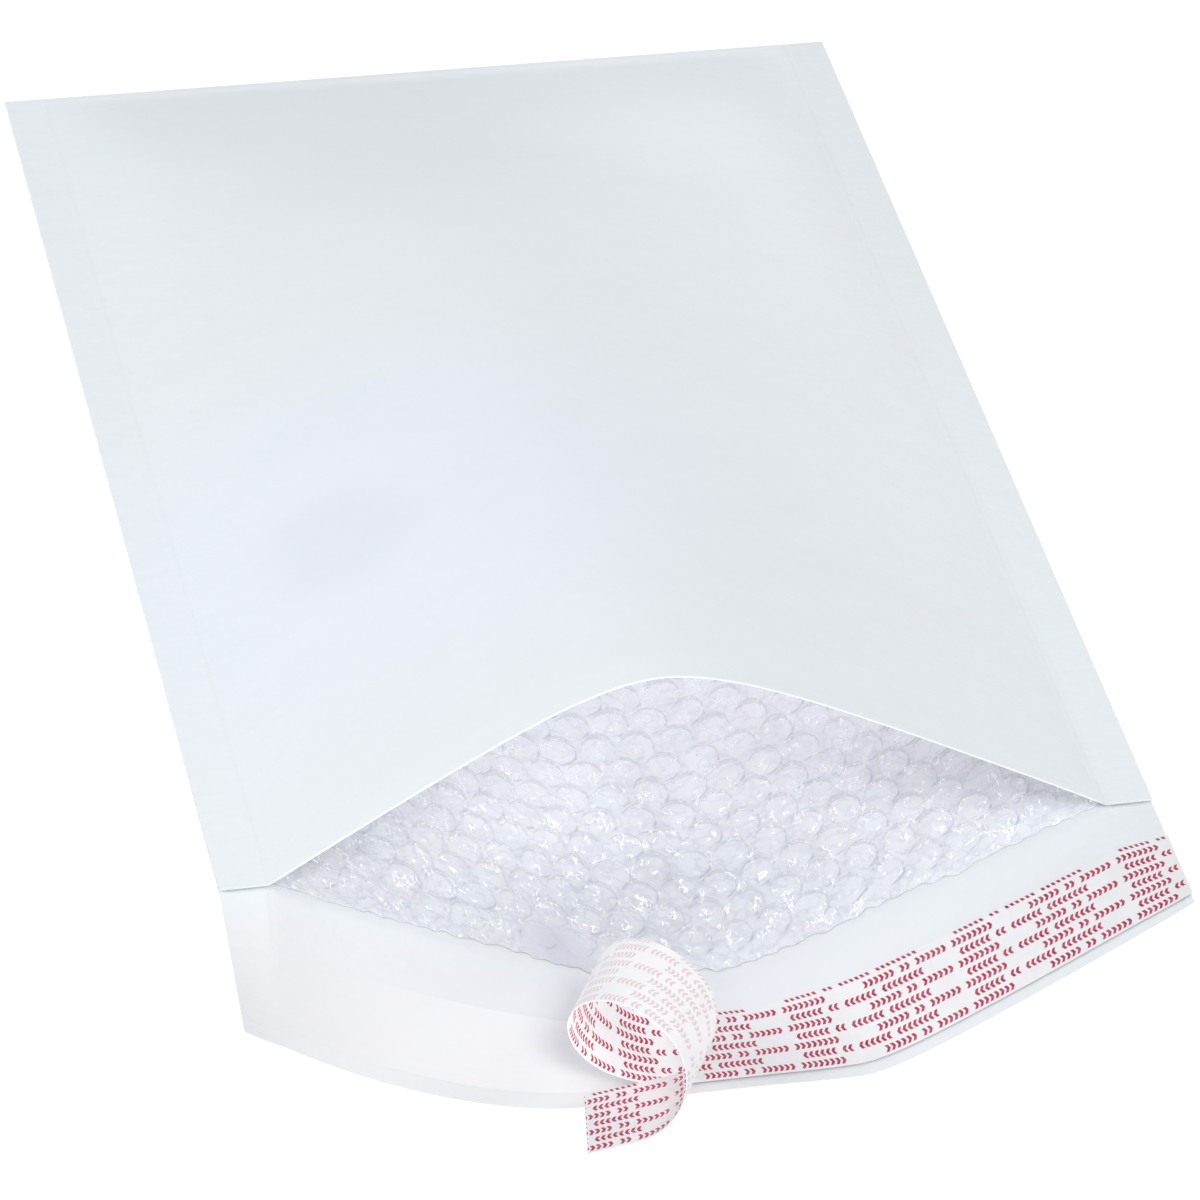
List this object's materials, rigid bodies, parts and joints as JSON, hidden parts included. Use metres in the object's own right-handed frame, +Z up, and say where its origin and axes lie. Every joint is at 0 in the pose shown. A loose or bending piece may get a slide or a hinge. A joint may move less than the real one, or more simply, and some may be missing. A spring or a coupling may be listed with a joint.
{
  "type": "bubble mailer",
  "caption": "White padded paper mailing bag lying open, lined with bubble film, its self-seal flap spread out and the glue's cover strip half peeled and curled.",
  "frame": {"origin": "the middle of the back panel's outside, on the surface that the bag lies on", "axes": "+Z up; +Y along the bag from the mouth to the closed end; +X across it, to the right of someone who looks into the mouth"},
  "size_m": [0.2666, 0.4964, 0.0937],
  "materials": {
    "white_paper": "smooth matt white",
    "bubble_film": "clear glossy film over white paper",
    "glue": "clear tacky film",
    "printed_liner": "thin coated paper, white with small red marks in rows"
  },
  "bodies": {
    "root": {"paper_envelope": "white_paper", "bubble_lining": "bubble_film", "adhesive_strip": "glue", "release_liner": "printed_liner"}
  },
  "joints": []
}
